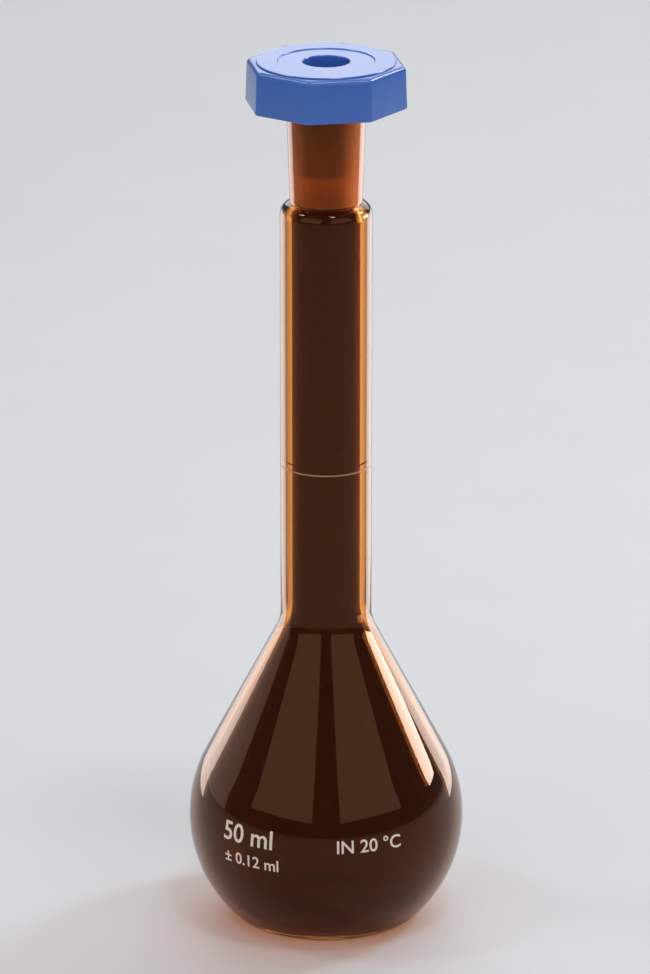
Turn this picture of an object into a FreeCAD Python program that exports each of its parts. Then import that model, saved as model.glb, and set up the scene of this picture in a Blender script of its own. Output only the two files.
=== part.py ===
import FreeCAD, Part
import math
import os

import Sketcher

# Volumetric flask, 50 ml, amber glass with a tapered 10/13 socket and a hollow octagonal stopper.
# Millimetres, +Z up. The origin is the centre of the base, on the surface that the flask stands on.

Vector = FreeCAD.Vector
doc = FreeCAD.newDocument("volumetric_flask")

# Driving dimensions
SIZES = {
    # bulb of the flask
    "bulb_diameter": 46.4,
    "bulb_centre_height": 17.4,
    "bulb_wall": 1.32,
    "base_wall": 1.9,
    "base_heel_radius": 2.8,
    "floor_heel_radius": 2.4,
    "punt_radius": 9.0,
    "punt_depth": 0.9,
    "flank_angle": 28.0,
    "neck_blend_radius": 7.2,
    # neck
    "neck_bore": 11.0,
    "neck_wall": 2.15,
    "neck_height": 123.0,
    "shoulder_rounding": 2.0,
    # socket above the neck's shoulder
    "mouth_height": 143.5,
    "socket_bore": 10.0,
    "socket_taper": 10.0,
    "socket_mouth_wall": 1.62,
    "socket_foot_wall": 1.9,
    "lip_rounding": 0.45,
    "lip_bevel": 0.3,
    "throat_drop": 0.2,
    "throat_rise": 2.0,
    "throat_rounding": 1.2,
    # ring of fired stain that marks the capacity, flush in its groove round the neck
    "mark_height": 80.0,
    "mark_width": 0.25,
    "mark_depth": 0.12,
    "mark_clearance": 0.02,
    # stopper
    "plug_clearance": 0.08,
    "plug_reach": 13.5,
    "plug_wall": 1.34,
    "plug_end_wall": 1.0,
    "plug_end_bevel": 0.5,
    "head_across_flats": 25.1,
    "head_draft": 2.0,
    "head_rise": 5.15,
    "head_plate": 1.6,
    "head_corner_rounding": 0.9,
    "head_crown_rounding": 0.8,
    "head_foot_bevel": 0.25,
    "skirt_overlap": 2.0,
    "skirt_wall": 1.3,
    "skirt_corner_rounding": 0.6,
    "disc_margin": 0.85,
    "disc_height": 0.25,
    "disc_bevel": 0.12,
    "disc_rim": 3.5,
    "recess_depth": 0.15,
    "stopper_turn": 10.1,
}

HEAD_SIDES = 8
OVERRUN = 1.0  # how far a cut runs past the face that it opens


def make_sheet():
    """The spreadsheet that holds every driving dimension under its own name."""
    sheet = doc.addObject("Spreadsheet::Sheet", "sizes")
    for row, (name, value) in enumerate(SIZES.items(), start=1):
        sheet.set(f"A{row}", name)
        sheet.set(f"B{row}", str(value))
        sheet.setAlias(f"B{row}", name)
    doc.recompute()
    return sheet


sheet = make_sheet()


def size(name):
    return float(sheet.get(name))


# Helpers for bodies and sketches

def new_body(label):
    body = doc.addObject("PartDesign::Body", label)
    body.Label = label
    return body


def new_sketch(body, name, role, height=None):
    """A sketch on one of the body's own origin planes, lifted by an expression where one is given."""
    sketch = body.newObject("Sketcher::SketchObject", name)
    plane = next(item for item in body.Origin.OriginFeatures if item.Role == role)
    sketch.AttachmentSupport = (plane, [""])
    sketch.MapMode = "FlatFace"
    if height:
        sketch.setExpression("AttachmentOffset.Base.z", height)
    return sketch


def tie(sketch, name, expression, *constraint):
    """A named dimension of a sketch, bound to the sheet."""
    index = sketch.addConstraint(Sketcher.Constraint(*constraint))
    sketch.renameConstraint(index, name)
    sketch.setExpression("Constraints." + name, expression)


def rule(sketch, *constraint):
    sketch.addConstraint(Sketcher.Constraint(*constraint))


def arc(sketch, centre, radius, start, end):
    """An arc about centre, anticlockwise from the point start to the point end."""
    first = math.atan2(start.y - centre.y, start.x - centre.x)
    last = math.atan2(end.y - centre.y, end.x - centre.x)
    circle = Part.Circle(centre, Vector(0, 0, 1), radius)
    return sketch.addGeometry(Part.ArcOfCircle(circle, first, last))


def line(sketch, start, end):
    return sketch.addGeometry(Part.LineSegment(start, end))


# Numbers of a sketch's own references and of the ends of its geometry
ORIGIN, ACROSS, UPRIGHT = -1, -1, -2
START, END, CENTRE = 1, 2, 3


def revolved(body, kind, name, sketch):
    feature = body.newObject("PartDesign::" + kind, name)
    feature.Profile = sketch
    feature.ReferenceAxis = (sketch, ["V_Axis"])
    feature.Angle = 360
    doc.recompute()
    return feature


def raised(body, kind, name, sketch, length, reverse=False):
    feature = body.newObject("PartDesign::" + kind, name)
    feature.Profile = sketch
    feature.setExpression("Length", length)
    feature.Reversed = reverse
    doc.recompute()
    return feature


def dressed(body, kind, name, dimension, amount, chosen):
    """Dress the edges of the body's last feature that the function chosen picks."""
    base = body.Tip
    edges = [f"Edge{number}" for number, edge in enumerate(base.Shape.Edges, start=1) if chosen(edge)]
    feature = body.newObject("PartDesign::" + kind, name)
    feature.Base = (base, edges)
    feature.setExpression(dimension, amount)
    doc.recompute()
    return feature


def rounded(body, name, radius, chosen):
    return dressed(body, "Fillet", name, "Radius", radius, chosen)


def bevelled(body, name, width, chosen):
    return dressed(body, "Chamfer", name, "Size", width, chosen)


def ring_edge(radius, height):
    """Picks the round edge of that radius at that height."""
    def chosen(edge):
        if edge.Degenerated or not isinstance(edge.Curve, Part.Circle):
            return False
        level = abs(edge.Curve.Center.z - height) < 1e-4
        return level and abs(edge.Curve.Radius - radius) < 1e-4
    return chosen


# Sizes that several pieces share
BULB_RADIUS = "sizes.bulb_diameter / 2"
NECK_RADIUS = "(sizes.neck_bore / 2 + sizes.neck_wall)"
THROAT_TOP = "(sizes.neck_height + sizes.throat_rise)"
THROAT_RADIUS = f"(sizes.socket_bore / 2 - (sizes.mouth_height - {THROAT_TOP}) / (2 * sizes.socket_taper))"
MOUTH_RADIUS = "(sizes.socket_bore / 2 + sizes.socket_mouth_wall)"
SOCKET_FOOT_RADIUS = f"({THROAT_RADIUS} + sizes.socket_foot_wall)"

neck_radius = size("neck_bore") / 2 + size("neck_wall")
throat_top = size("neck_height") + size("throat_rise")
throat_radius = size("socket_bore") / 2 - (size("mouth_height") - throat_top) / (2 * size("socket_taper"))
mouth_radius = size("socket_bore") / 2 + size("socket_mouth_wall")
socket_foot_radius = throat_radius + size("socket_foot_wall")


# Glass

MARK_FOOT = "sizes.mark_height - sizes.mark_width / 2"
MARK_SEAT = f"({NECK_RADIUS} - sizes.mark_depth)"


def draw_band(sketch, inner, outer):
    """Two circles about the axis, each a pair of its radius and the expression that holds it."""
    for name, (radius, expression) in (("inner_radius", inner), ("outer_radius", outer)):
        circle = sketch.addGeometry(Part.Circle(Vector(0, 0, 0), Vector(0, 0, 1), radius))
        rule(sketch, "Coincident", circle, CENTRE, ORIGIN, 1)
        tie(sketch, name, expression, "Radius", circle, radius)


def draw_bulb(sketch, ball, floor, heel, blend, neck, top):
    """One face of the bulb's wall, from the axis at the base up to the end of the neck.

    Each argument is a pair: the value for the first drawing and the expression that then holds it.
    The floor's expression is None where the floor is the plane that the flask stands on.
    """
    slope = math.radians(size("flank_angle"))
    outward = Vector(math.cos(slope), math.sin(slope), 0)
    middle = Vector(0, size("bulb_centre_height"), 0)

    crown = Vector(0, floor[0] + size("punt_depth"), 0)
    rim = Vector(size("punt_radius"), floor[0], 0)
    punt_arc_radius = (size("punt_radius") ** 2 + size("punt_depth") ** 2) / (2 * size("punt_depth"))
    punt_centre = Vector(0, crown.y - punt_arc_radius, 0)

    heel_height = floor[0] + heel[0]
    heel_reach = math.sqrt((ball[0] - heel[0]) ** 2 - (middle.y - heel_height) ** 2)
    heel_centre = Vector(heel_reach, heel_height, 0)
    heel_start = Vector(heel_reach, floor[0], 0)
    heel_end = middle + (heel_centre - middle).normalize() * ball[0]

    flank_start = middle + outward * ball[0]
    blend_reach = neck[0] + blend[0]
    blend_rise = (blend[0] - (blend_reach - flank_start.x) * outward.x) / outward.y
    blend_centre = Vector(blend_reach, flank_start.y + blend_rise, 0)
    flank_end = blend_centre - outward * blend[0]
    neck_start = Vector(neck[0], blend_centre.y, 0)
    neck_end = Vector(neck[0], top[0], 0)

    punt = arc(sketch, punt_centre, punt_arc_radius, rim, crown)
    base = line(sketch, rim, heel_start)
    heel_arc = arc(sketch, heel_centre, heel[0], heel_start, heel_end)
    bulb = arc(sketch, middle, ball[0], heel_end, flank_start)
    flank = line(sketch, flank_start, flank_end)
    blend_arc = sketch.addGeometry(Part.ArcOfCircle(
        Part.Circle(blend_centre, Vector(0, 0, 1), blend[0]), math.pi, math.pi + slope))
    wall = line(sketch, neck_start, neck_end)

    rule(sketch, "PointOnObject", punt, CENTRE, UPRIGHT)
    rule(sketch, "PointOnObject", punt, END, UPRIGHT)
    tie(sketch, "punt_radius", "sizes.punt_radius", "DistanceX", ORIGIN, 1, punt, START, rim.x)
    if floor[1]:
        tie(sketch, "floor", floor[1], "DistanceY", ORIGIN, 1, punt, START, floor[0])
    else:
        rule(sketch, "PointOnObject", punt, START, ACROSS)
    tie(sketch, "punt_depth", "sizes.punt_depth", "DistanceY", punt, START, punt, END, size("punt_depth"))
    rule(sketch, "Coincident", punt, START, base, START)
    rule(sketch, "Horizontal", base)
    rule(sketch, "Tangent", base, END, heel_arc, START)
    tie(sketch, "heel_radius", heel[1], "Radius", heel_arc, heel[0])
    rule(sketch, "Tangent", heel_arc, END, bulb, START)
    rule(sketch, "PointOnObject", bulb, CENTRE, UPRIGHT)
    tie(sketch, "bulb_centre", "sizes.bulb_centre_height", "DistanceY", ORIGIN, 1, bulb, CENTRE, middle.y)
    tie(sketch, "bulb_radius", ball[1], "Radius", bulb, ball[0])
    rule(sketch, "Tangent", bulb, END, flank, START)
    rule(sketch, "Tangent", flank, END, blend_arc, END)
    tie(sketch, "blend_radius", blend[1], "Radius", blend_arc, blend[0])
    rule(sketch, "Tangent", blend_arc, START, wall, START)
    rule(sketch, "Vertical", wall)
    tie(sketch, "neck_radius", neck[1], "DistanceX", ORIGIN, 1, wall, END, neck[0])
    tie(sketch, "neck_top", top[1], "DistanceY", ORIGIN, 1, wall, END, top[0])
    tie(sketch, "flank_lean", "(90 + sizes.flank_angle) * 1 deg", "Angle", flank, math.pi / 2 + slope)
    return punt, wall, neck_end


def close_to_axis(sketch, punt, last, top):
    """Close an outline from the end of its last line, across to the axis and down it."""
    lid = line(sketch, top, Vector(0, top.y, 0))
    crown = sketch.getPoint(punt, END)
    axis = line(sketch, Vector(0, top.y, 0), Vector(0, crown.y, 0))
    rule(sketch, "Coincident", last, END, lid, START)
    rule(sketch, "Horizontal", lid)
    rule(sketch, "PointOnObject", lid, END, UPRIGHT)
    rule(sketch, "Coincident", lid, END, axis, START)
    rule(sketch, "Coincident", axis, END, punt, END)


def draw_outside(body):
    """The outside of the glass: bulb, neck, rounded shoulder and tapered socket."""
    sketch = new_sketch(body, "outside_outline", "XZ_Plane")
    punt, wall, neck_end = draw_bulb(
        sketch,
        ball=(size("bulb_diameter") / 2, BULB_RADIUS),
        floor=(0.0, None),
        heel=(size("base_heel_radius"), "sizes.base_heel_radius"),
        blend=(size("neck_blend_radius"), "sizes.neck_blend_radius"),
        neck=(neck_radius, NECK_RADIUS),
        top=(size("neck_height"), "sizes.neck_height"),
    )
    rounding = size("shoulder_rounding")
    centre = Vector(neck_radius - rounding, neck_end.y, 0)
    turn = math.acos((socket_foot_radius - centre.x) / rounding)
    foot = centre + Vector(math.cos(turn), math.sin(turn), 0) * rounding
    mouth = Vector(mouth_radius, size("mouth_height"), 0)
    shoulder = arc(sketch, centre, rounding, neck_end, foot)
    socket = line(sketch, foot, mouth)
    rule(sketch, "Tangent", wall, END, shoulder, START)
    tie(sketch, "shoulder_rounding", "sizes.shoulder_rounding", "Radius", shoulder, rounding)
    tie(sketch, "socket_foot", SOCKET_FOOT_RADIUS, "DistanceX", ORIGIN, 1, shoulder, END, foot.x)
    rule(sketch, "Coincident", shoulder, END, socket, START)
    tie(sketch, "mouth_radius", MOUTH_RADIUS, "DistanceX", ORIGIN, 1, socket, END, mouth.x)
    tie(sketch, "mouth_height", "sizes.mouth_height", "DistanceY", ORIGIN, 1, socket, END, mouth.y)
    close_to_axis(sketch, punt, socket, mouth)
    return sketch


def draw_inside(body):
    """The inside of the glass: bulb, neck bore, throat and the socket's taper, open at the mouth."""
    sketch = new_sketch(body, "inside_outline", "XZ_Plane")
    throat_start = size("neck_height") - size("throat_drop")
    punt, bore, bore_end = draw_bulb(
        sketch,
        ball=(size("bulb_diameter") / 2 - size("bulb_wall"), BULB_RADIUS + " - sizes.bulb_wall"),
        floor=(size("base_wall"), "sizes.base_wall"),
        heel=(size("floor_heel_radius"), "sizes.floor_heel_radius"),
        blend=(size("neck_blend_radius") + size("bulb_wall"), "sizes.neck_blend_radius + sizes.bulb_wall"),
        neck=(size("neck_bore") / 2, "sizes.neck_bore / 2"),
        top=(throat_start, "sizes.neck_height - sizes.throat_drop"),
    )
    throat_end = Vector(throat_radius, throat_top, 0)
    mouth = Vector(size("socket_bore") / 2, size("mouth_height"), 0)
    above = mouth + Vector(0, OVERRUN, 0)
    throat = line(sketch, bore_end, throat_end)
    taper = line(sketch, throat_end, mouth)
    chimney = line(sketch, mouth, above)
    rule(sketch, "Coincident", bore, END, throat, START)
    rule(sketch, "Coincident", throat, END, taper, START)
    rule(sketch, "Coincident", taper, END, chimney, START)
    tie(sketch, "throat_radius", THROAT_RADIUS, "DistanceX", ORIGIN, 1, throat, END, throat_end.x)
    tie(sketch, "throat_top", THROAT_TOP, "DistanceY", ORIGIN, 1, throat, END, throat_end.y)
    tie(sketch, "mouth_bore", "sizes.socket_bore / 2", "DistanceX", ORIGIN, 1, taper, END, mouth.x)
    tie(sketch, "mouth_height", "sizes.mouth_height", "DistanceY", ORIGIN, 1, taper, END, mouth.y)
    rule(sketch, "Vertical", chimney)
    rule(sketch, "DistanceY", chimney, START, chimney, END, OVERRUN)
    close_to_axis(sketch, punt, chimney, above)
    return sketch, bore_end, throat_end


def make_glass():
    body = new_body("glass_flask")
    outline = draw_outside(body)
    solid = revolved(body, "Revolution", "glass_outside", outline)
    inside, bore_end, throat_end = draw_inside(body)
    hollow = revolved(body, "Groove", "glass_inside", inside)
    if hollow.Shape.Volume >= solid.Shape.Volume:
        raise RuntimeError("the inside of the flask was not cut")
    lower_throat = ring_edge(bore_end.x, bore_end.y)
    upper_throat = ring_edge(throat_end.x, throat_end.y)
    rounded(body, "throat", "sizes.throat_rounding", lambda edge: lower_throat(edge) or upper_throat(edge))
    rounded(body, "lip", "sizes.lip_rounding", ring_edge(mouth_radius, size("mouth_height")))
    bevelled(body, "mouth", "sizes.lip_bevel", ring_edge(size("socket_bore") / 2, size("mouth_height")))
    band = new_sketch(body, "groove_section", "XY_Plane", f"{MARK_FOOT} - sizes.mark_clearance")
    draw_band(
        band,
        inner=(neck_radius - size("mark_depth"), MARK_SEAT),
        outer=(neck_radius + OVERRUN, f"{NECK_RADIUS} + {OVERRUN}"),
    )
    raised(body, "Pocket", "mark_groove", band, "sizes.mark_width + 2 * sizes.mark_clearance", reverse=True)
    return body, solid


# Ring of the mark

def make_graduation_ring():
    """A band of fired stain in the groove round the neck, at the height that the flask is filled to."""
    body = new_body("graduation_ring")
    sketch = new_sketch(body, "ring_section", "XY_Plane", MARK_FOOT)
    draw_band(
        sketch,
        inner=(neck_radius - size("mark_depth") + size("mark_clearance"), f"{MARK_SEAT} + sizes.mark_clearance"),
        outer=(neck_radius, NECK_RADIUS),
    )
    raised(body, "Pad", "ring_band", sketch, "sizes.mark_width")
    return body


# Stopper, drawn about the middle of the flask's mouth

HEAD_DROP = "-sizes.skirt_overlap"
HEAD_HEIGHT = "(sizes.skirt_overlap + sizes.head_rise)"
CROWN_FLATS = f"(sizes.head_across_flats / 2 - {HEAD_HEIGHT} * tan(sizes.head_draft * 1 deg))"
DISC_RADIUS = f"({CROWN_FLATS} - sizes.disc_margin)"
PLUG_RADIUS = "(sizes.socket_bore / 2 - sizes.plug_clearance)"

draft = math.tan(math.radians(size("head_draft")))
head_height = size("skirt_overlap") + size("head_rise")
crown_flats = size("head_across_flats") / 2 - head_height * draft
disc_radius = crown_flats - size("disc_margin")
plug_radius = size("socket_bore") / 2 - size("plug_clearance")
plate_under = size("head_rise") - size("head_plate")
disc_top = size("head_rise") + size("disc_height")


def draw_octagon(sketch, flats, flats_expression, rounding):
    """A regular outline with rounded corners, its flats at a set distance from the centre, one towards -Y."""
    step = 2 * math.pi / HEAD_SIDES
    corner = size(rounding)
    reach = (flats - corner) / math.cos(step / 2)
    half_side = reach * math.sin(step / 2)
    circle = sketch.addGeometry(Part.Circle(Vector(0, 0, 0), Vector(0, 0, 1), flats), True)
    rule(sketch, "Coincident", circle, CENTRE, ORIGIN, 1)
    tie(sketch, "flats", flats_expression, "Radius", circle, flats)
    sides, corners = [], []
    for number in range(HEAD_SIDES):
        lean = number * step
        along = Vector(math.cos(lean), math.sin(lean), 0)
        outward = Vector(math.sin(lean), -math.cos(lean), 0)
        start = outward * flats - along * half_side
        end = outward * flats + along * half_side
        corner_circle = Part.Circle(end - outward * corner, Vector(0, 0, 1), corner)
        sides.append(line(sketch, start, end))
        corners.append(sketch.addGeometry(Part.ArcOfCircle(
            corner_circle, lean - math.pi / 2, lean + step - math.pi / 2)))
    for number, (side, bend) in enumerate(zip(sides, corners)):
        following = sides[(number + 1) % HEAD_SIDES]
        rule(sketch, "Tangent", side, END, bend, START)
        rule(sketch, "Tangent", bend, END, following, START)
        rule(sketch, "Tangent", side, circle)
        rule(sketch, "Angle", side, number * step)
    tie(sketch, "corner_rounding", "sizes." + rounding, "Radius", corners[0], corner)
    for bend in corners[1:]:
        rule(sketch, "Equal", corners[0], bend)


def draw_disc(sketch, radius, expression):
    circle = sketch.addGeometry(Part.Circle(Vector(0, 0, 0), Vector(0, 0, 1), radius))
    rule(sketch, "Coincident", circle, CENTRE, ORIGIN, 1)
    tie(sketch, "disc_radius", expression, "Radius", circle, radius)


def taper_radius(height):
    """Expression for the plug's radius at a height above the mouth."""
    return f"({PLUG_RADIUS} + ({height}) / (2 * sizes.socket_taper))"


def draw_plug(body, name, bottom, top, inset, inset_value):
    """Half section of a taper about the axis, between two heights given as (value, expression)."""
    sketch = new_sketch(body, name, "XZ_Plane")
    lower = plug_radius + bottom[0] / (2 * size("socket_taper")) - inset_value
    upper = plug_radius + top[0] / (2 * size("socket_taper")) - inset_value
    corners = [Vector(0, bottom[0], 0), Vector(lower, bottom[0], 0), Vector(upper, top[0], 0), Vector(0, top[0], 0)]
    sides = [line(sketch, corners[number], corners[(number + 1) % 4]) for number in range(4)]
    floor, flank, lid, axis = sides
    for side, following in zip(sides, sides[1:] + sides[:1]):
        rule(sketch, "Coincident", side, END, following, START)
    rule(sketch, "Horizontal", floor)
    rule(sketch, "Horizontal", lid)
    rule(sketch, "PointOnObject", axis, START, UPRIGHT)
    rule(sketch, "PointOnObject", axis, END, UPRIGHT)
    tie(sketch, "lower_radius", taper_radius(bottom[1]) + inset, "DistanceX", ORIGIN, 1, flank, START, lower)
    tie(sketch, "upper_radius", taper_radius(top[1]) + inset, "DistanceX", ORIGIN, 1, flank, END, upper)
    tie(sketch, "bottom", bottom[1], "DistanceY", ORIGIN, 1, flank, START, bottom[0])
    tie(sketch, "top", top[1], "DistanceY", ORIGIN, 1, flank, END, top[0])
    return sketch


def make_head(body):
    """Octagonal head with a skirt round its hollow underside, a raised disc and a shallow recess on top."""
    outline = new_sketch(body, "head_outline", "XY_Plane", HEAD_DROP)
    draw_octagon(outline, size("head_across_flats") / 2, "sizes.head_across_flats / 2", "head_corner_rounding")
    head = raised(body, "Pad", "head", outline, HEAD_HEIGHT)
    head.setExpression("TaperAngle", "-sizes.head_draft")
    doc.recompute()

    def level_with(height):
        return lambda edge: all(abs(vertex.Point.z - height) < 1e-4 for vertex in edge.Vertexes)

    rounded(body, "head_crown", "sizes.head_crown_rounding", level_with(size("head_rise")))
    bevelled(body, "head_foot", "sizes.head_foot_bevel", level_with(-size("skirt_overlap")))

    disc = new_sketch(body, "disc_outline", "XY_Plane", "sizes.head_rise")
    draw_disc(disc, disc_radius, DISC_RADIUS)
    raised(body, "Pad", "disc", disc, "sizes.disc_height")
    bevelled(body, "disc_edge", "sizes.disc_bevel", ring_edge(disc_radius, disc_top))

    recess = new_sketch(body, "recess_outline", "XY_Plane", "sizes.head_rise + sizes.disc_height")
    draw_disc(recess, disc_radius - size("disc_rim"), DISC_RADIUS + " - sizes.disc_rim")
    raised(body, "Pocket", "recess", recess, "sizes.recess_depth")

    underside = new_sketch(body, "skirt_outline", "XY_Plane", HEAD_DROP)
    draw_octagon(underside, size("head_across_flats") / 2 - size("skirt_wall"),
                 "sizes.head_across_flats / 2 - sizes.skirt_wall", "skirt_corner_rounding")
    before = body.Tip.Shape.Volume
    skirt = raised(body, "Pocket", "skirt", underside, f"{HEAD_HEIGHT} - sizes.head_plate", reverse=True)
    skirt.setExpression("TaperAngle", "-sizes.head_draft")
    doc.recompute()
    if skirt.Shape.Volume >= before:
        raise RuntimeError("the underside of the stopper's head was not cut")


def make_stopper():
    body = new_body("stopper")
    make_head(body)
    plug_end = (-size("plug_reach"), "-sizes.plug_reach")
    plate = (plate_under, "sizes.head_rise - sizes.head_plate")
    plug = draw_plug(body, "plug_section", plug_end, plate, "", 0.0)
    revolved(body, "Revolution", "plug", plug)
    end_radius = plug_radius - size("plug_reach") / (2 * size("socket_taper"))
    bevelled(body, "plug_end", "sizes.plug_end_bevel", ring_edge(end_radius, -size("plug_reach")))

    hollow_end = (size("plug_end_wall") - size("plug_reach"), "sizes.plug_end_wall - sizes.plug_reach")
    opening = (disc_top + OVERRUN, f"sizes.head_rise + sizes.disc_height + {OVERRUN}")
    hollow = draw_plug(body, "hollow_section", hollow_end, opening, " - sizes.plug_wall", size("plug_wall"))
    before = body.Tip.Shape.Volume
    cut = revolved(body, "Groove", "hollow", hollow)
    if cut.Shape.Volume >= before:
        raise RuntimeError("the hollow of the stopper was not cut")
    body.setExpression("Placement.Base.z", "sizes.mouth_height")
    body.Placement.Rotation = FreeCAD.Rotation(Vector(0, 0, 1), size("stopper_turn"))
    doc.recompute()
    return body


def capacity(glass, solid):
    """Millilitres that the flask holds up to its mark."""
    side = size("bulb_diameter") + OVERRUN
    below = Part.makeBox(side, side, size("mark_height"), Vector(-side / 2, -side / 2, 0))
    inside = solid.Shape.common(below).Volume - glass.Shape.common(below).Volume
    return inside / 1000


def check_and_write(bodies):
    for item in doc.Objects:
        if "Invalid" in item.State or "Error" in item.State:
            raise RuntimeError(f"{item.Label} failed: {item.State}")
    os.makedirs("parts", exist_ok=True)
    for body in bodies:
        shape = body.Shape
        if shape.isNull() or not shape.isValid():
            raise RuntimeError(f"{body.Label} has no valid shape")
        shape.exportStep(f"parts/{body.Label}.step")
        box = shape.BoundBox
        print(f"{body.Label}: {len(shape.Solids)} solid, {shape.Volume:.1f} mm3, z {box.ZMin:.2f} to {box.ZMax:.2f}")


glass_flask, filled_outline = make_glass()
graduation_ring = make_graduation_ring()
stopper = make_stopper()
doc.recompute()
check_and_write([glass_flask, graduation_ring, stopper])
print(f"capacity to the mark: {capacity(glass_flask, filled_outline):.2f} ml")
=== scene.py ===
import math

import bmesh
import bpy
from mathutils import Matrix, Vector


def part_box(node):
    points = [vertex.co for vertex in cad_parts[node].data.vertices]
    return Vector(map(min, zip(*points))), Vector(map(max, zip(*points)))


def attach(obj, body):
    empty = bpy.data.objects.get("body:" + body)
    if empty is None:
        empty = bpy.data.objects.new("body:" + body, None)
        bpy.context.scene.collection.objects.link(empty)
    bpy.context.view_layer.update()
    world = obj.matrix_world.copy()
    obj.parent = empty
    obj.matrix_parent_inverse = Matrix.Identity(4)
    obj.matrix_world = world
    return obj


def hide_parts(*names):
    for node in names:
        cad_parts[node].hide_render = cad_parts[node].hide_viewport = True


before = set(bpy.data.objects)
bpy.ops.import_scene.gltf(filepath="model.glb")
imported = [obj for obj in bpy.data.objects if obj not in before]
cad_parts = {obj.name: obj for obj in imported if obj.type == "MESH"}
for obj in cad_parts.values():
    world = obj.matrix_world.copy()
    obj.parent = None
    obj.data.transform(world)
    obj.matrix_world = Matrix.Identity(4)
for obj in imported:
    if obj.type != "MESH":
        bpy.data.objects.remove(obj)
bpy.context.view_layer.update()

MM = 0.001

# Sizes of the flask
MOUTH_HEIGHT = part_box("glass_flask")[1].z
PRINT_STANDING = 0.02 * MM
BULB_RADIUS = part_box("glass_flask")[1].y - PRINT_STANDING
BULB_CENTRE = 17.4 * MM
BULB_WALL = 1.32 * MM
BASE_WALL = 1.9 * MM
BASE_HEEL = 2.8 * MM
FLOOR_HEEL = 2.4 * MM
PUNT_RADIUS = 9.0 * MM
PUNT_DEPTH = 0.9 * MM
FLANK_ANGLE = math.radians(28.0)
NECK_BLEND = 7.2 * MM
NECK_BORE = 5.5 * MM
NECK_RADIUS = 7.65 * MM
NECK_HEIGHT = 123.0 * MM
SHOULDER_ROUNDING = 2.0 * MM
SOCKET_BORE = 5.0 * MM
SOCKET_TAPER = 0.05
SOCKET_MOUTH_WALL = 1.62 * MM
SOCKET_FOOT_WALL = 1.9 * MM
LIP_ROUNDING = 0.45 * MM
LIP_BEVEL = 0.3 * MM
THROAT_START = NECK_HEIGHT - 0.2 * MM
THROAT_END = NECK_HEIGHT + 2.0 * MM
THROAT_RADIUS = SOCKET_BORE - (MOUTH_HEIGHT - THROAT_END) * SOCKET_TAPER
THROAT_ROUNDING = 0.45 * MM

# Sizes of the stopper, with heights above the flask's mouth
HEAD_SIDES = 8
HEAD_FLATS = 12.55 * MM
HEAD_DRAFT = math.tan(math.radians(2.0))
HEAD_RISE = 5.15 * MM
HEAD_PLATE = 1.6 * MM
HEAD_CORNER = 0.9 * MM
HEAD_CROWN = 0.8 * MM
HEAD_FOOT = 0.25 * MM
SKIRT_OVERLAP = 2.0 * MM
SKIRT_WALL = 1.3 * MM
SKIRT_CORNER = 0.6 * MM
DISC_MARGIN = 0.85 * MM
DISC_HEIGHT = 0.25 * MM
DISC_BEVEL = 0.12 * MM
DISC_RIM = 3.5 * MM
RECESS_DEPTH = 0.15 * MM
PLUG_CLEARANCE = 0.08 * MM
PLUG_RADIUS = SOCKET_BORE - PLUG_CLEARANCE
PLUG_REACH = 13.5 * MM
PLUG_WALL = 1.34 * MM
PLUG_END_WALL = 1.0 * MM
PLUG_END_BEVEL = 0.5 * MM
HOLE_BEVEL = 0.15 * MM
STOPPER_TURN = math.radians(10.1)

# Sizes of the mark, measured from the neck's surface
MARK_DEPTH = 0.04 * MM
MARK_STANDING = 0.01 * MM
MARK_ROUNDING = 0.03 * MM

# Steps of the meshes
AROUND = 160  # round the glass
PUNT_STEPS = 16
FLOOR_STEPS = 4
HEEL_STEPS = 14
BELLY_STEPS = 56
FLANK_STEPS = 16
BLEND_STEPS = 16
NECK_STEPS = 32
SHOULDER_STEPS = 16
SOCKET_STEPS = 16
LIP_STEPS = 8
LIP_FACE_STEPS = 2
ROUNDING_STEPS = 8
MARK_ROUNDING_STEPS = 3
CORNER_STEPS = 12  # points on each rounded corner of the stopper's head
CROWN_STEPS = 6
FOOT_STEPS = 3
SAME_POINT = 0.001 * MM  # points closer than this are merged


# Meshes

class Outline:
    """A half section in the XZ plane, drawn point by point and then spun about Z."""

    def __init__(self):
        self.mesh = bmesh.new()
        self.end = None

    def begin(self, x, z):
        self.end = self.mesh.verts.new((x, 0, z))

    def line(self, x, z, steps=1):
        start = self.end.co.copy()
        goal = Vector((x, 0, z))
        for step in range(1, steps + 1):
            grown = bmesh.ops.extrude_vert_indiv(self.mesh, verts=[self.end])
            self.end = grown["verts"][0]
            self.end.co = start.lerp(goal, step / steps)
        return self.end

    def arc(self, x, z, turn, steps):
        """Turn about the centre (x, z), anticlockwise where the angle is positive."""
        grown = bmesh.ops.spin(
            self.mesh, geom=[self.end], cent=(x, 0, z), axis=(0, -1, 0), angle=turn, steps=steps)
        self.end = next(item for item in grown["geom_last"] if isinstance(item, bmesh.types.BMVert))

    def round_off(self, corners, width, segments=ROUNDING_STEPS):
        bmesh.ops.bevel(
            self.mesh, geom=corners, offset=width, segments=segments, profile=0.5,
            affect="VERTICES", material=-1)

    def spun(self):
        mesh = self.mesh
        bmesh.ops.spin(
            mesh, geom=mesh.verts[:] + mesh.edges[:], cent=(0, 0, 0), axis=(0, 0, 1),
            angle=math.tau, steps=AROUND, use_merge=True)
        bmesh.ops.remove_doubles(mesh, verts=mesh.verts[:], dist=SAME_POINT)
        bmesh.ops.recalc_face_normals(mesh, faces=mesh.faces[:])
        return mesh


FLASK_PIECES = bpy.data.collections.new("pieces of the flask")
SHARP_ANGLE = math.radians(35.0)


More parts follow.
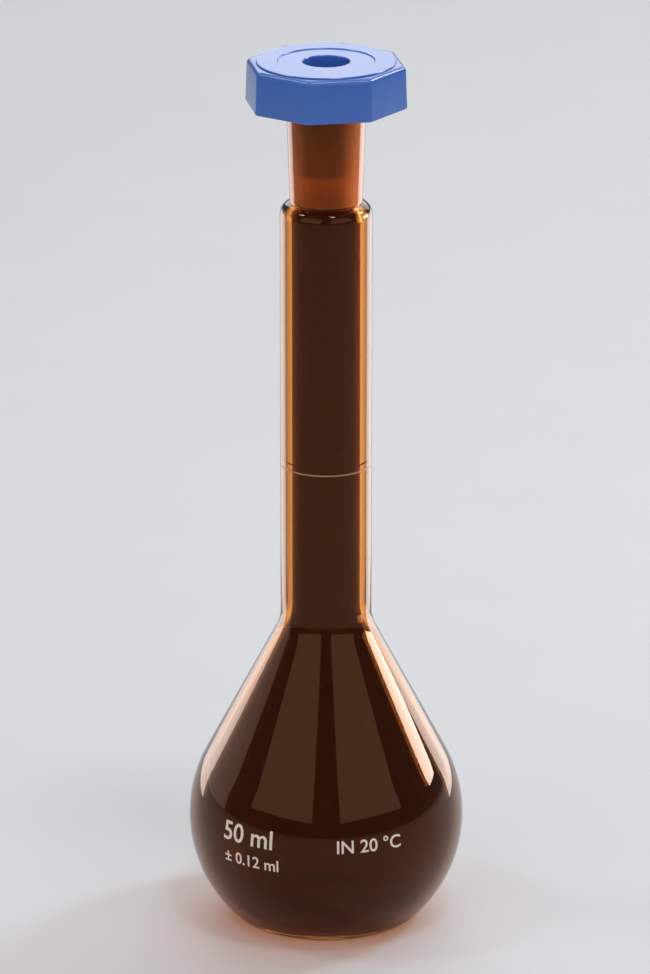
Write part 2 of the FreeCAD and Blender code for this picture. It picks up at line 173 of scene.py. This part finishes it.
def finished(name, mesh, body, materials, nodes=()):
    """Make the object of a finished mesh, smooth except at sharp edges, and let it ride on its body."""
    data = bpy.data.meshes.new(name)
    mesh.to_mesh(data)
    mesh.free()
    data.shade_smooth()
    data.set_sharp_from_angle(angle=SHARP_ANGLE)
    for material in materials:
        data.materials.append(material)
    thing = bpy.data.objects.new(name, data)
    bpy.context.scene.collection.objects.link(thing)
    if body == "flask":
        FLASK_PIECES.objects.link(thing)
    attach(thing, body)
    if nodes:
        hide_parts(*nodes)


# Materials

def node(tree, kind, **values):
    """A new node with its input sockets and settings given by name."""
    made = tree.nodes.new(kind)
    for name, value in values.items():
        if name in made.inputs:
            made.inputs[name].default_value = value
        else:
            setattr(made, name, value)
    return made


def make_variation():
    """Node group: a colour made a little lighter and darker by noise, and the noise itself."""
    group = bpy.data.node_groups.new("fine variation", "ShaderNodeTree")
    socket = group.interface.new_socket
    socket("Colour", in_out="INPUT", socket_type="NodeSocketColor")
    socket("Depth", in_out="INPUT", socket_type="NodeSocketFloat")
    socket("Scale", in_out="INPUT", socket_type="NodeSocketFloat")
    socket("Colour", in_out="OUTPUT", socket_type="NodeSocketColor")
    socket("Grain", in_out="OUTPUT", socket_type="NodeSocketFloat")
    given = node(group, "NodeGroupInput")
    result = node(group, "NodeGroupOutput")
    place = node(group, "ShaderNodeTexCoord")
    noise = node(group, "ShaderNodeTexNoise", Detail=4.0)
    swing = node(group, "ShaderNodeMapRange")
    swing.inputs["To Min"].default_value = -1.0
    depth = node(group, "ShaderNodeMath", operation="MULTIPLY_ADD")
    depth.inputs[2].default_value = 1.0
    varied = node(group, "ShaderNodeVectorMath", operation="SCALE")
    link = group.links.new
    link(place.outputs["Object"], noise.inputs["Vector"])
    link(given.outputs["Scale"], noise.inputs["Scale"])
    link(noise.outputs["Fac"], swing.inputs["Value"])
    link(swing.outputs["Result"], depth.inputs[0])
    link(given.outputs["Depth"], depth.inputs[1])
    link(given.outputs["Colour"], varied.inputs[0])
    link(depth.outputs["Value"], varied.inputs["Scale"])
    link(varied.outputs["Vector"], result.inputs["Colour"])
    link(noise.outputs["Fac"], result.inputs["Grain"])
    return group


VARIATION = make_variation()


def new_material(name, colour, depth, scale):
    """A material whose colour varies finely, with its node tree, its shader and the noise it varies by."""
    material = bpy.data.materials.new(name)
    material.use_nodes = True
    tree = material.node_tree
    shader = tree.nodes["Principled BSDF"]
    varied = node(tree, "ShaderNodeGroup", node_tree=VARIATION)
    varied.inputs["Colour"].default_value = (*colour, 1)
    varied.inputs["Depth"].default_value = depth
    varied.inputs["Scale"].default_value = scale
    tree.links.new(varied.outputs["Colour"], shader.inputs["Base Color"])
    return material, tree, shader, varied.outputs["Grain"]


def vary_roughness(tree, shader, grain, smooth, rough):
    spread = node(tree, "ShaderNodeMapRange")
    spread.inputs["To Min"].default_value = smooth
    spread.inputs["To Max"].default_value = rough
    tree.links.new(grain, spread.inputs["Value"])
    tree.links.new(spread.outputs["Result"], shader.inputs["Roughness"])


def add_bump(tree, shader, height, strength, distance):
    bump = node(tree, "ShaderNodeBump", Strength=strength, Distance=distance)
    tree.links.new(height, bump.inputs["Height"])
    tree.links.new(bump.outputs["Normal"], shader.inputs["Normal"])


def tint_shadow(tree, shader):
    """Let lamp light through the glass onto the floor, coloured by the glass."""
    path = node(tree, "ShaderNodeLightPath")
    tint = node(tree, "ShaderNodeBsdfTransparent", Color=(0.76, 0.54, 0.30, 1))
    choice = node(tree, "ShaderNodeMixShader")
    output = tree.nodes["Material Output"]
    tree.links.new(path.outputs["Is Shadow Ray"], choice.inputs["Fac"])
    tree.links.new(shader.outputs["BSDF"], choice.inputs[1])
    tree.links.new(tint.outputs["BSDF"], choice.inputs[2])
    tree.links.new(choice.outputs["Shader"], output.inputs["Surface"])


GLASS_IOR = 1.474


def amber_glass(name, colour):
    """Drawn and blown glass: faint long waves in its surface, and a colour that is nearly even."""
    material, tree, shader, _ = new_material(name, colour, depth=0.06, scale=45.0)
    shader.inputs["Transmission Weight"].default_value = 1.0
    shader.inputs["IOR"].default_value = GLASS_IOR
    # Clear glass reflects without a tint; this one is set to match the brown of the photograph. The amber
    # tint on the reflections is a painted reflection: it stands in for the light that the far wall sends
    # back.
    shader.inputs["Specular Tint"].default_value = (1.0, 0.53, 0.28, 1)
    shader.inputs["Roughness"].default_value = 0.0
    place = node(tree, "ShaderNodeTexCoord")
    stretch = node(tree, "ShaderNodeMapping")
    stretch.inputs["Scale"].default_value = (1, 1, 0.25)
    waves = node(tree, "ShaderNodeTexNoise", Scale=140.0, Detail=1.0)
    tree.links.new(place.outputs["Object"], stretch.inputs["Vector"])
    tree.links.new(stretch.outputs["Vector"], waves.inputs["Vector"])
    add_bump(tree, shader, waves.outputs["Fac"], strength=0.35, distance=0.05 * MM)
    tint_shadow(tree, shader)
    return material


def ground_amber_glass():
    """The socket's ground taper: matt, so it scatters the light that comes through the wall."""
    colour = (0.92, 0.44, 0.16)
    material, tree, shader, grain = new_material("ground amber glass", colour, depth=0.06, scale=900.0)
    shader.inputs["Transmission Weight"].default_value = 0.65
    shader.inputs["IOR"].default_value = GLASS_IOR
    vary_roughness(tree, shader, grain, smooth=0.45, rough=0.65)
    add_bump(tree, shader, grain, strength=0.3, distance=0.02 * MM)
    return material


def stopper_plastic():
    """Moulded polyethylene: satin and finely grained."""
    colour = (0.058, 0.165, 0.57)
    material, tree, shader, grain = new_material("blue polyethylene", colour, depth=0.06, scale=260.0)
    vary_roughness(tree, shader, grain, smooth=0.16, rough=0.26)
    add_bump(tree, shader, grain, strength=0.05, distance=0.05 * MM)
    return material


def mark_stain():
    """The mark's stain: matt and a little uneven."""
    colour = (0.46, 0.23, 0.11)
    material, tree, shader, grain = new_material("fired brown stain", colour, depth=0.15, scale=700.0)
    vary_roughness(tree, shader, grain, smooth=0.4, rough=0.6)
    return material


def print_enamel():
    """Fired print: matt, pale and a little thin in places."""
    colour = (0.90, 0.76, 0.64)
    material, tree, shader, grain = new_material("fired pale enamel", colour, depth=0.14, scale=1100.0)
    vary_roughness(tree, shader, grain, smooth=0.4, rough=0.6)
    add_bump(tree, shader, grain, strength=0.2, distance=0.01 * MM)
    return material


# Glass

def draw_wall(outline, ball, floor, heel, blend, neck, top):
    """One face of the bulb's wall, from the axis at the base up to the end of the neck."""
    punt_arc = (PUNT_RADIUS ** 2 + PUNT_DEPTH ** 2) / (2 * PUNT_DEPTH)
    punt_turn = math.asin(PUNT_RADIUS / punt_arc)
    heel_height = floor + heel
    heel_reach = math.sqrt((ball - heel) ** 2 - (BULB_CENTRE - heel_height) ** 2)
    heel_angle = math.atan2(heel_height - BULB_CENTRE, heel_reach)
    flank_x = ball * math.cos(FLANK_ANGLE)
    flank_z = BULB_CENTRE + ball * math.sin(FLANK_ANGLE)
    blend_x = neck + blend
    blend_z = flank_z + (blend - (blend_x - flank_x) * math.cos(FLANK_ANGLE)) / math.sin(FLANK_ANGLE)
    outline.begin(0, floor + PUNT_DEPTH)
    outline.arc(0, floor + PUNT_DEPTH - punt_arc, -punt_turn, PUNT_STEPS)
    outline.line(heel_reach, floor, FLOOR_STEPS)
    outline.arc(heel_reach, heel_height, heel_angle + math.pi / 2, HEEL_STEPS)
    outline.arc(0, BULB_CENTRE, FLANK_ANGLE - heel_angle, BELLY_STEPS)
    flank_end_x = blend_x - blend * math.cos(FLANK_ANGLE)
    flank_end_z = blend_z - blend * math.sin(FLANK_ANGLE)
    outline.line(flank_end_x, flank_end_z, FLANK_STEPS)
    outline.arc(blend_x, blend_z, -FLANK_ANGLE, BLEND_STEPS)
    return outline.line(neck, top, NECK_STEPS)


def draw_socket(outline):
    """The rounded shoulder, the socket's outside and its lip, down to the start of the ground taper."""
    foot = THROAT_RADIUS + SOCKET_FOOT_WALL
    shoulder_x = NECK_RADIUS - SHOULDER_ROUNDING
    shoulder_turn = math.acos((foot - shoulder_x) / SHOULDER_ROUNDING)
    outline.arc(shoulder_x, NECK_HEIGHT, shoulder_turn, SHOULDER_STEPS)
    mouth = SOCKET_BORE + SOCKET_MOUTH_WALL
    outline.line(mouth, MOUTH_HEIGHT - LIP_ROUNDING, SOCKET_STEPS)
    outline.arc(mouth - LIP_ROUNDING, MOUTH_HEIGHT - LIP_ROUNDING, math.pi / 2, LIP_STEPS)
    outline.line(SOCKET_BORE + LIP_BEVEL, MOUTH_HEIGHT, LIP_FACE_STEPS)
    return outline.line(SOCKET_BORE - LIP_BEVEL * SOCKET_TAPER, MOUTH_HEIGHT - LIP_BEVEL)


CLEAR, SOCKET, GROUND = range(3)  # the glass's materials


def glass_part(face):
    """Which of the glass's materials a face has."""
    middle = face.calc_center_median()
    if middle.z < THROAT_END:
        return CLEAR
    if math.hypot(middle.x, middle.y) < SOCKET_BORE and middle.z < MOUTH_HEIGHT - LIP_BEVEL:
        return GROUND
    return SOCKET


def make_glass():
    """The hollow flask: its outside up to the lip, then its inside from the floor up to the lip."""
    outline = Outline()
    draw_wall(outline, BULB_RADIUS, 0, BASE_HEEL, NECK_BLEND, NECK_RADIUS, NECK_HEIGHT)
    taper_start = draw_socket(outline)
    goal = taper_start.co.copy()
    bore_end = draw_wall(
        outline, BULB_RADIUS - BULB_WALL, BASE_WALL, FLOOR_HEEL, NECK_BLEND + BULB_WALL, NECK_BORE,
        THROAT_START)
    throat_end = outline.line(THROAT_RADIUS, THROAT_END)
    outline.line(goal.x, goal.z, SOCKET_STEPS)
    outline.round_off([bore_end, throat_end], THROAT_ROUNDING)
    mesh = outline.spun()
    for face in mesh.faces:
        face.material_index = glass_part(face)
    materials = [
        amber_glass("amber glass", (0.175, 0.060, 0.010)),
        amber_glass("thin amber glass", (0.29, 0.066, 0.010)),
        ground_amber_glass()]
    finished("flask_glass", mesh, "flask", materials, ["glass_flask"])


def make_mark():
    """The thin ring of the mark, set a hair into the glass."""
    low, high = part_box("graduation_ring")
    seat = NECK_RADIUS - MARK_DEPTH
    face = NECK_RADIUS + MARK_STANDING
    outline = Outline()
    outline.begin(seat, low.z)
    lower = outline.line(face, low.z)
    upper = outline.line(face, high.z)
    outline.line(seat, high.z)
    outline.line(seat, low.z)
    outline.round_off([lower, upper], MARK_ROUNDING, MARK_ROUNDING_STEPS)
    mesh = outline.spun()
    finished("mark_ring", mesh, "flask", [mark_stain()], ["graduation_ring"])


# Stopper

def section_point(number, flats, corner, height):
    """A point of a rounded octagon; it is a circle where the corners' radius is that of the flats."""
    side, step = divmod(number, CORNER_STEPS)
    half = math.pi / HEAD_SIDES
    middle = STOPPER_TURN + (side + 0.5) * 2 * half
    lean = middle - half + 2 * half * step / (CORNER_STEPS - 1)
    if corner == flats:
        lean = middle - half + 2 * half * step / CORNER_STEPS
    reach = (flats - corner) / math.cos(half)
    return Vector((
        reach * math.cos(middle) + corner * math.cos(lean),
        reach * math.sin(middle) + corner * math.sin(lean),
        height))


class Loft:
    """A skin that is grown from one closed section to the next."""

    def __init__(self, flats, corner, height):
        self.mesh = bmesh.new()
        self.number = self.mesh.verts.layers.int.new("number")
        made = bmesh.ops.create_circle(self.mesh, segments=HEAD_SIDES * CORNER_STEPS, radius=flats)
        for number, vertex in enumerate(made["verts"]):
            vertex[self.number] = number
        self.edges = self.mesh.edges[:]
        self.shape(made["verts"], flats, corner, height)

    def shape(self, verts, flats, corner, height):
        for vertex in verts:
            vertex.co = section_point(vertex[self.number], flats, corner, height)

    def grow(self, flats, corner, height):
        grown = bmesh.ops.extrude_edge_only(self.mesh, edges=self.edges)["geom"]
        self.edges = [item for item in grown if isinstance(item, bmesh.types.BMEdge)]
        verts = [item for item in grown if isinstance(item, bmesh.types.BMVert)]
        self.shape(verts, flats, corner, height)

    def ring(self, radius, height):
        self.grow(radius, radius, height)

    def close(self):
        bmesh.ops.contextual_create(self.mesh, geom=self.edges)


def plug_radius(height):
    """Radius of the plug's taper at a height above the mouth."""
    return PLUG_RADIUS + height * SOCKET_TAPER


def head_flats(height):
    """Distance of the head's drafted flats from the axis at a height above the mouth."""
    return HEAD_FLATS - (height + SKIRT_OVERLAP) * HEAD_DRAFT


def grow_top(loft):
    """From the floor of the hole up and out over the recess and the raised disc."""
    disc = HEAD_RISE + DISC_HEIGHT
    recess = disc - RECESS_DEPTH
    hole = plug_radius(recess) - PLUG_WALL
    disc_radius = head_flats(HEAD_RISE) - DISC_MARGIN
    recess_radius = disc_radius - DISC_RIM
    loft.ring(hole, recess - HOLE_BEVEL)
    loft.ring(hole + HOLE_BEVEL, recess)
    loft.ring(recess_radius - RECESS_DEPTH / 2, recess)
    loft.ring(recess_radius, recess + RECESS_DEPTH / 2)
    loft.ring(recess_radius + RECESS_DEPTH / 2, disc)
    loft.ring(disc_radius - DISC_BEVEL, disc)
    loft.ring(disc_radius, disc - DISC_BEVEL)
    loft.ring(disc_radius, HEAD_RISE)


def grow_head(loft):
    """From the disc's foot over the rounded crown and down the eight flats to the edge of the skirt."""
    for step in range(CROWN_STEPS + 1):
        turn = math.pi / 2 * step / CROWN_STEPS
        height = HEAD_RISE - HEAD_CROWN * (1 - math.cos(turn))
        loft.grow(head_flats(height) - HEAD_CROWN * (1 - math.sin(turn)), HEAD_CORNER, height)
    foot = -SKIRT_OVERLAP
    for step in range(FOOT_STEPS + 1):
        turn = math.pi / 2 * step / FOOT_STEPS
        height = foot + HEAD_FOOT * (1 - math.sin(turn))
        loft.grow(head_flats(height) - HEAD_FOOT * (1 - math.cos(turn)), HEAD_CORNER, height)


def grow_underside(loft):
    """From the edge of the skirt up inside it, across to the plug and down to the plug's end."""
    foot = -SKIRT_OVERLAP
    plate = HEAD_RISE - HEAD_PLATE
    loft.grow(HEAD_FLATS - SKIRT_WALL, SKIRT_CORNER, foot)
    loft.grow(head_flats(plate) - SKIRT_WALL, SKIRT_CORNER, plate)
    loft.ring(plug_radius(plate), plate)
    loft.ring(plug_radius(PLUG_END_BEVEL - PLUG_REACH), PLUG_END_BEVEL - PLUG_REACH)
    loft.ring(plug_radius(-PLUG_REACH) - PLUG_END_BEVEL, -PLUG_REACH)


def make_stopper():
    floor = PLUG_END_WALL - PLUG_REACH
    bottom = plug_radius(floor) - PLUG_WALL
    loft = Loft(bottom, bottom, floor)
    loft.close()
    grow_top(loft)
    grow_head(loft)
    grow_underside(loft)
    loft.close()
    mesh = loft.mesh
    bmesh.ops.translate(mesh, verts=mesh.verts[:], vec=(0, 0, MOUTH_HEIGHT))
    bmesh.ops.recalc_face_normals(mesh, faces=mesh.faces[:])
    materials = [stopper_plastic()]
    finished("stopper_moulding", mesh, "stopper", materials, ["stopper"])


# Print on the bulb

PRINT_THICKNESS = 0.03 * MM
PRINT_WEIGHT = 0.016  # how much each stroke grows to all sides, as a share of the letters' height
PRINT_CUT = 0.4 * MM  # width of the strips that let the flat letters bend
PRINT_CUT_TOLERANCE = 0.0001 * MM
PRINT_SLIVER = 0.004 * MM  # width of slivers that are closed up after the cuts
LETTER_STEPS = 4  # on each curve of a letter
CAPITAL_SHARE = 0.7  # height of a capital as a share of the font's size
PRINT_MATERIAL = print_enamel()


def flat_letters(words, letter_height):
    """Letters as a thin flat mesh, with the base line along X."""
    curve = bpy.data.curves.new("letters", "FONT")
    curve.body = words
    curve.size = letter_height / CAPITAL_SHARE
    curve.extrude = PRINT_THICKNESS / 2
    curve.offset = PRINT_WEIGHT * letter_height
    curve.resolution_u = LETTER_STEPS
    holder = bpy.data.objects.new("letters", curve)
    bpy.context.scene.collection.objects.link(holder)
    seen = holder.evaluated_get(bpy.context.evaluated_depsgraph_get())
    flat = bpy.data.meshes.new_from_object(seen)
    mesh = bmesh.new()
    mesh.from_mesh(flat)
    bpy.data.objects.remove(holder)
    bpy.data.curves.remove(curve)
    bpy.data.meshes.remove(flat)
    bmesh.ops.remove_doubles(mesh, verts=mesh.verts[:], dist=SAME_POINT)
    return mesh


def cut_in_strips(mesh):
    """Cut flat letters both ways into strips that are narrow enough to bend."""
    for axis in range(2):
        low = min(vertex.co[axis] for vertex in mesh.verts)
        high = max(vertex.co[axis] for vertex in mesh.verts)
        normal = Vector((axis == 0, axis == 1, 0))
        for number in range(1, int((high - low) / PRINT_CUT) + 1):
            bmesh.ops.bisect_plane(
                mesh, geom=mesh.verts[:] + mesh.edges[:] + mesh.faces[:], dist=PRINT_CUT_TOLERANCE,
                plane_co=normal * (low + number * PRINT_CUT), plane_no=normal)
    bmesh.ops.remove_doubles(mesh, verts=mesh.verts[:], dist=PRINT_SLIVER)


def make_print(name, words, letter_height, height, start):
    """Letters bent onto the bulb, from a start angle about the axis, on a base line at a height."""
    mesh = flat_letters(words, letter_height)
    cut_in_strips(mesh)
    base = math.asin((height - BULB_CENTRE) / BULB_RADIUS)
    for vertex in mesh.verts:
        lift = BULB_RADIUS + PRINT_STANDING - PRINT_THICKNESS / 2 + vertex.co.z
        turn = start + vertex.co.x / (BULB_RADIUS * math.cos(base))
        rise = base + vertex.co.y / BULB_RADIUS
        vertex.co = (
            lift * math.cos(rise) * math.sin(turn),
            -lift * math.cos(rise) * math.cos(turn),
            BULB_CENTRE + lift * math.sin(rise))
    finished(name, mesh, "flask", [PRINT_MATERIAL])


def make_prints():
    make_print(
        "print_capacity", "50 ml", letter_height=3.2 * MM, height=19.0 * MM, start=math.radians(-48))
    make_print(
        "print_temperature", "IN 20 °C", letter_height=2.2 * MM, height=19.0 * MM, start=math.radians(4))
    make_print(
        "print_tolerance", "± 0.12 ml", letter_height=2.0 * MM, height=15.2 * MM, start=math.radians(-47))


# Stage

FLOOR_REACH = 4.0


def make_floor():
    mesh = bmesh.new()
    bmesh.ops.create_grid(mesh, x_segments=1, y_segments=1, size=FLOOR_REACH)
    data = bpy.data.meshes.new("floor")
    mesh.to_mesh(data)
    mesh.free()
    material, _, shader, _ = new_material("pale floor", (0.76, 0.77, 0.79), depth=0.02, scale=30.0)
    shader.inputs["Roughness"].default_value = 0.7
    data.materials.append(material)
    floor = bpy.data.objects.new("floor", data)
    bpy.context.scene.collection.objects.link(floor)


AIM_BULB = (0, 0, 0.04)
AIM_STOPPER = (0, 0, 0.14)
WIDE = math.radians(180.0)
NARROWED = math.radians(120.0)


def add_panel(name, place, target, width, height, brightness, spread=WIDE):
    """A soft light panel; its brightness is that of its face seen straight on, where 1 is white."""
    half = spread / 2
    lamp = bpy.data.lights.new(name, "AREA")
    lamp.shape = "RECTANGLE"
    lamp.size = width
    lamp.size_y = height
    lamp.spread = spread
    lamp.energy = brightness * math.pi * width * height * (1 - half / math.tan(half))
    holder = bpy.data.objects.new(name, lamp)
    holder.location = place
    away = Vector(place) - Vector(target)
    holder.rotation_euler = away.to_track_quat("Z", "Y").to_euler()
    bpy.context.scene.collection.objects.link(holder)
    return holder


def add_near_panel(*values):
    """A panel near the flask, kept off the stopper and the floor, where it would leave bright patches."""
    add_panel(*values).light_linking.receiver_collection = FLASK_PIECES


def make_lights():
    """Panels, each with its name, place, aim, width, height and brightness, and a dim sky."""
    for name, side, brightness in (("strip right", 1, 5.9), ("strip left", -1, 4.8)):
        place = (side * 0.0815, 0.11, 0.069)
        aim = (side * -0.016, 0.085, 0.069)
        add_near_panel(name, place, aim, 0.118, 0.122, brightness, NARROWED)
    add_near_panel("side right", (0.41, 0.18, 0.15), AIM_BULB, 0.16, 0.12, 15.0)
    add_near_panel("side left", (-0.43, 0.25, 0.12), AIM_BULB, 0.5, 0.22, 0.8)
    for name, side in (("front right", 1), ("front left", -1)):
        add_panel(name, (side * 0.58, -0.69, 0.61), (0, 0, 0.61), 0.96, 0.78, 0.85)
    add_panel("key right", (0.48, 0.26, 0.5), AIM_STOPPER, 0.12, 0.12, 28.0)
    add_panel("key top", (0.13, -0.2, 0.75), AIM_STOPPER, 0.1, 0.1, 18.0)
    add_panel("key left", (-0.41, 0.02, 0.65), AIM_STOPPER, 0.1, 0.1, 14.0)
    add_panel("back", (0.25, 1.6, 0.82), (0, 0, 0.15), 1.9, 0.9, 2.1)
    add_panel("overhead", (0.1, 0.5, 1.5), AIM_STOPPER, 1.6, 1.6, 0.68)
    world = bpy.data.worlds.new("studio")
    world.use_nodes = True
    sky = world.node_tree.nodes["Background"]
    sky.inputs["Color"].default_value = (0.9, 0.95, 1.0, 1)
    sky.inputs["Strength"].default_value = 0.18
    bpy.context.scene.world = world


# Camera, as in the photograph
CAMERA_DISTANCE = 1.0
CAMERA_ELEVATION = math.radians(18.79)
CAMERA_TARGET = Vector((-0.18 * MM, 0, 75.55 * MM))
FOCAL_PIXELS = 6000.0
FRAME_HEIGHT = 974.0
SENSOR_WIDTH = 36.0


def make_camera():
    lens = bpy.data.cameras.new("camera")
    lens.sensor_width = SENSOR_WIDTH
    lens.lens = SENSOR_WIDTH * FOCAL_PIXELS / FRAME_HEIGHT
    camera = bpy.data.objects.new("camera", lens)
    away = Vector((0, -math.cos(CAMERA_ELEVATION), math.sin(CAMERA_ELEVATION)))
    camera.location = CAMERA_TARGET + away * CAMERA_DISTANCE
    camera.rotation_euler = away.to_track_quat("Z", "Y").to_euler()
    bpy.context.scene.collection.objects.link(camera)
    bpy.context.scene.camera = camera


make_glass()
make_mark()
make_stopper()
make_prints()
make_floor()
make_lights()
make_camera()
bpy.context.scene.view_settings.view_transform = "Standard"
